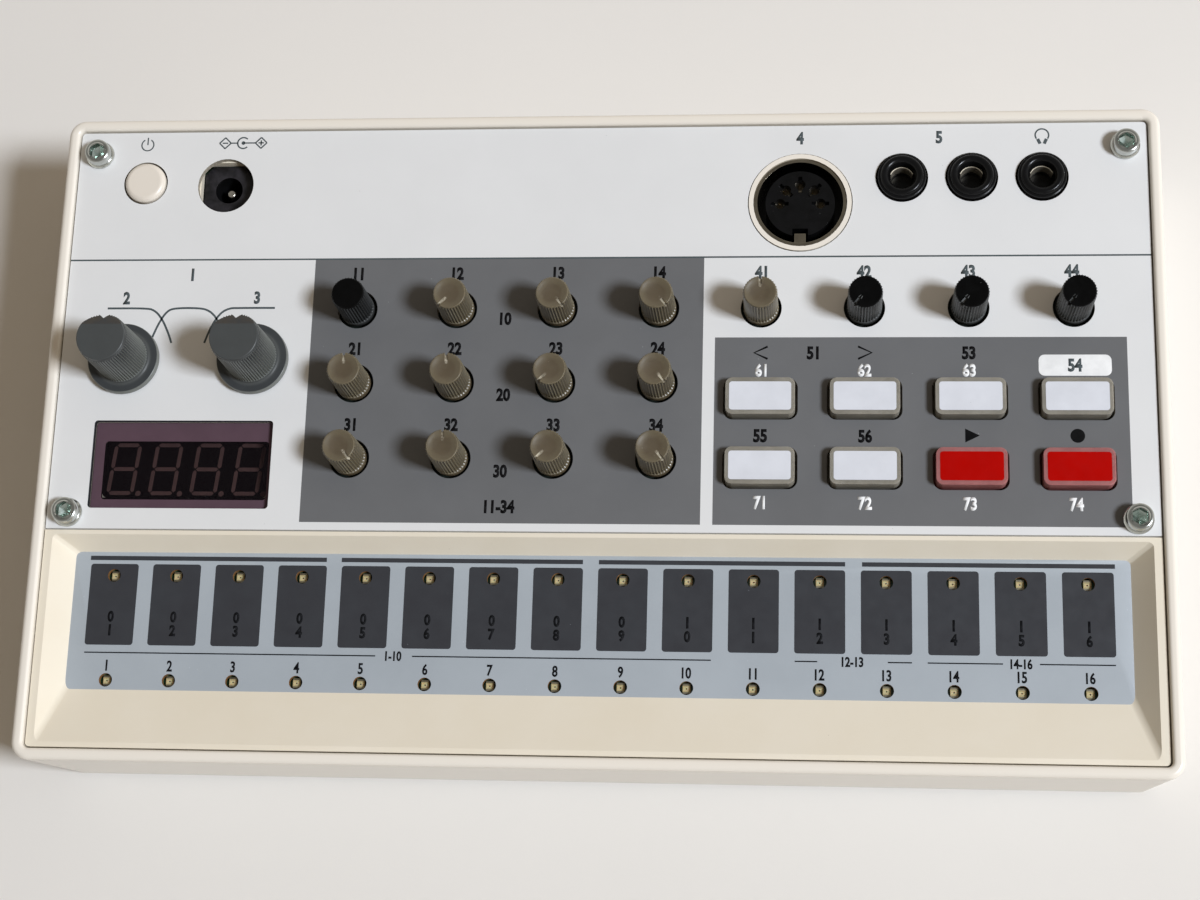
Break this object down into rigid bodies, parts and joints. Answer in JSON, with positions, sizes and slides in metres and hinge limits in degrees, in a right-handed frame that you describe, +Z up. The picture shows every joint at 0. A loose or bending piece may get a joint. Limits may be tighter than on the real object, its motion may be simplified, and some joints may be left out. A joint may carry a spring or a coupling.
{
  "type": "desktop step sequencer",
  "caption": "Shallow white plastic music sequencer with small ribbed knobs, rubber keys, a number display, top sockets and a sunken touch strip of pads.",
  "frame": {"origin": "middle of the footprint, on the table under the rubber feet", "axes": "+X right as the player sees it, +Y to the back, +Z up"},
  "size_m": [0.193, 0.115, 0.045],
  "materials": {
    "case_abs": "glossy moulded ABS, warm white",
    "frame_abs": "satin moulded ABS, cream",
    "panel_sheet": "matt white paint with screen print",
    "window_acrylic": "tinted clear acrylic",
    "display_black": "black filled resin",
    "touch_sheet": "satin printed polycarbonate",
    "circuit_board": "green solder mask",
    "lamp_chip": "cream chip package",
    "silicone_clear": "translucent silicone rubber, printed top",
    "silicone_red": "translucent red silicone rubber, printed top",
    "control_plastic": "dull moulded plastic",
    "plated_steel": "bright zinc plate",
    "nickel_plate": "bright nickel plate",
    "socket_black": "black moulded plastic",
    "foot_rubber": "black rubber",
    "cone_paper": "black pressed paper",
    "cell_jacket": "plain printed jacket",
    "knob_grey": "satin grey moulded ABS",
    "knob_smoke": "smoky translucent moulded plastic",
    "knob_black": "satin black moulded plastic"
  },
  "bodies": {
    "root": {"bottom_case": "case_abs", "front_frame": "frame_abs", "top_panel": "panel_sheet", "display_window": "window_acrylic", "display_module": "display_black", "touch_plate": "touch_sheet", "touch_board": "circuit_board", "step_lamps": "lamp_chip", "main_board": "circuit_board", "keypad_mat": "silicone_clear", "pot_bodies": "control_plastic", "encoder_body": "plated_steel", "large_pot_bodies": "plated_steel", "din_shell": "nickel_plate", "din_insert": "socket_black", "dc_jack": "socket_black", "dc_pin": "nickel_plate", "power_switch": "control_plastic", "panel_screws": "plated_steel", "case_screws": "plated_steel", "rubber_feet": "foot_rubber", "speaker_frame": "plated_steel", "speaker_cone": "cone_paper", "battery_cells": "cell_jacket", "battery_contacts": "nickel_plate", "sync_in_jack": "socket_black", "sync_out_jack": "socket_black", "phones_jack": "socket_black"},
    "select_knob": {"select_knob": "knob_black"},
    "start_knob": {"start_knob": "knob_smoke"},
    "length_knob": {"length_knob": "knob_smoke"},
    "cutoff_knob": {"cutoff_knob": "knob_smoke"},
    "tempo_knob": {"tempo_knob": "knob_smoke"},
    "swing_knob": {"swing_knob": "knob_black"},
    "reverb_knob": {"reverb_knob": "knob_black"},
    "volume_knob": {"volume_knob": "knob_black"},
    "speed_knob": {"speed_knob": "knob_smoke"},
    "pitch_depth_knob": {"pitch_depth_knob": "knob_smoke"},
    "pitch_attack_knob": {"pitch_attack_knob": "knob_smoke"},
    "pitch_decay_knob": {"pitch_decay_knob": "knob_smoke"},
    "level_knob": {"level_knob": "knob_smoke"},
    "pan_knob": {"pan_knob": "knob_smoke"},
    "amp_attack_knob": {"amp_attack_knob": "knob_smoke"},
    "amp_decay_knob": {"amp_decay_knob": "knob_smoke"},
    "bass_knob": {"bass_knob": "knob_grey", "bass_shaft": "plated_steel"},
    "treble_knob": {"treble_knob": "knob_grey", "treble_shaft": "plated_steel"},
    "reverse_key": {"reverse_key": "silicone_clear"},
    "reverb_key": {"reverb_key": "silicone_clear"},
    "mute_key": {"mute_key": "silicone_clear"},
    "function_key": {"function_key": "silicone_clear"},
    "memory_key": {"memory_key": "silicone_clear"},
    "step_mode_key": {"step_mode_key": "silicone_clear"},
    "play_key": {"play_key": "silicone_red"},
    "record_key": {"record_key": "silicone_red"},
    "power_button": {"power_button": "frame_abs", "power_plunger": "control_plastic"},
    "battery_cover": {"battery_cover": "case_abs"}
  },
  "joints": [
    {"name": "select_turn", "type": "hinge", "parent": "root", "child": "select_knob", "pos_m": [-0.04185, 0.0217, 0.031], "axis": [0, 0, 1], "continuous": true},
    {"name": "start_turn", "type": "hinge", "parent": "root", "child": "start_knob", "pos_m": [-0.02429, 0.0217, 0.031], "axis": [0, 0, 1], "range_deg": [-280, 0]},
    {"name": "length_turn", "type": "hinge", "parent": "root", "child": "length_knob", "pos_m": [-0.00674, 0.0217, 0.031], "axis": [0, 0, 1], "range_deg": [0, 280]},
    {"name": "cutoff_turn", "type": "hinge", "parent": "root", "child": "cutoff_knob", "pos_m": [0.01082, 0.0217, 0.031], "axis": [0, 0, 1], "range_deg": [0, 280]},
    {"name": "tempo_turn", "type": "hinge", "parent": "root", "child": "tempo_knob", "pos_m": [0.02838, 0.0217, 0.031], "axis": [0, 0, 1], "range_deg": [-140, 140]},
    {"name": "swing_turn", "type": "hinge", "parent": "root", "child": "swing_knob", "pos_m": [0.04594, 0.0217, 0.031], "axis": [0, 0, 1], "range_deg": [-280, 0]},
    {"name": "reverb_turn", "type": "hinge", "parent": "root", "child": "reverb_knob", "pos_m": [0.06349, 0.0217, 0.031], "axis": [0, 0, 1], "range_deg": [-280, 0]},
    {"name": "volume_turn", "type": "hinge", "parent": "root", "child": "volume_knob", "pos_m": [0.08105, 0.0217, 0.031], "axis": [0, 0, 1], "range_deg": [-280, 0]},
    {"name": "speed_turn", "type": "hinge", "parent": "root", "child": "speed_knob", "pos_m": [-0.04185, 0.0083, 0.031], "axis": [0, 0, 1], "range_deg": [-140, 140]},
    {"name": "pitch_depth_turn", "type": "hinge", "parent": "root", "child": "pitch_depth_knob", "pos_m": [-0.02429, 0.0083, 0.031], "axis": [0, 0, 1], "range_deg": [-140, 140]},
    {"name": "pitch_attack_turn", "type": "hinge", "parent": "root", "child": "pitch_attack_knob", "pos_m": [-0.00674, 0.0083, 0.031], "axis": [0, 0, 1], "range_deg": [-280, 0]},
    {"name": "pitch_decay_turn", "type": "hinge", "parent": "root", "child": "pitch_decay_knob", "pos_m": [0.01082, 0.0083, 0.031], "axis": [0, 0, 1], "range_deg": [0, 280]},
    {"name": "level_turn", "type": "hinge", "parent": "root", "child": "level_knob", "pos_m": [-0.04185, -0.0051, 0.031], "axis": [0, 0, 1], "range_deg": [0, 280]},
    {"name": "pan_turn", "type": "hinge", "parent": "root", "child": "pan_knob", "pos_m": [-0.02429, -0.0051, 0.031], "axis": [0, 0, 1], "range_deg": [-140, 140]},
    {"name": "amp_attack_turn", "type": "hinge", "parent": "root", "child": "amp_attack_knob", "pos_m": [-0.00674, -0.0051, 0.031], "axis": [0, 0, 1], "range_deg": [-280, 0]},
    {"name": "amp_decay_turn", "type": "hinge", "parent": "root", "child": "amp_decay_knob", "pos_m": [0.01082, -0.0051, 0.031], "axis": [0, 0, 1], "range_deg": [0, 280]},
    {"name": "bass_turn", "type": "hinge", "parent": "root", "child": "bass_knob", "pos_m": [-0.0827, 0.0124, 0.031], "axis": [0, 0, 1], "range_deg": [-140, 140]},
    {"name": "treble_turn", "type": "hinge", "parent": "root", "child": "treble_knob", "pos_m": [-0.0597, 0.0124, 0.031], "axis": [0, 0, 1], "range_deg": [-140, 140]},
    {"name": "reverse_press", "type": "slide", "parent": "root", "child": "reverse_key", "axis": [0, 0, -1], "range_m": [0, 0.001], "stiffness_N_per_m": 300},
    {"name": "reverb_press", "type": "slide", "parent": "root", "child": "reverb_key", "axis": [0, 0, -1], "range_m": [0, 0.001], "stiffness_N_per_m": 300},
    {"name": "mute_press", "type": "slide", "parent": "root", "child": "mute_key", "axis": [0, 0, -1], "range_m": [0, 0.001], "stiffness_N_per_m": 300},
    {"name": "function_press", "type": "slide", "parent": "root", "child": "function_key", "axis": [0, 0, -1], "range_m": [0, 0.001], "stiffness_N_per_m": 300},
    {"name": "memory_press", "type": "slide", "parent": "root", "child": "memory_key", "axis": [0, 0, -1], "range_m": [0, 0.001], "stiffness_N_per_m": 300},
    {"name": "step_mode_press", "type": "slide", "parent": "root", "child": "step_mode_key", "axis": [0, 0, -1], "range_m": [0, 0.001], "stiffness_N_per_m": 300},
    {"name": "play_press", "type": "slide", "parent": "root", "child": "play_key", "axis": [0, 0, -1], "range_m": [0, 0.001], "stiffness_N_per_m": 300},
    {"name": "record_press", "type": "slide", "parent": "root", "child": "record_key", "axis": [0, 0, -1], "range_m": [0, 0.001], "stiffness_N_per_m": 300},
    {"name": "power_press", "type": "slide", "parent": "root", "child": "power_button", "axis": [0, 0, -1], "range_m": [0, 0.0007], "stiffness_N_per_m": 400},
    {"name": "cover_swing", "type": "hinge", "parent": "root", "child": "battery_cover", "pos_m": [0, 0.0159, 0.0027], "axis": [1, 0, 0], "range_deg": [0, 90]}
  ]
}
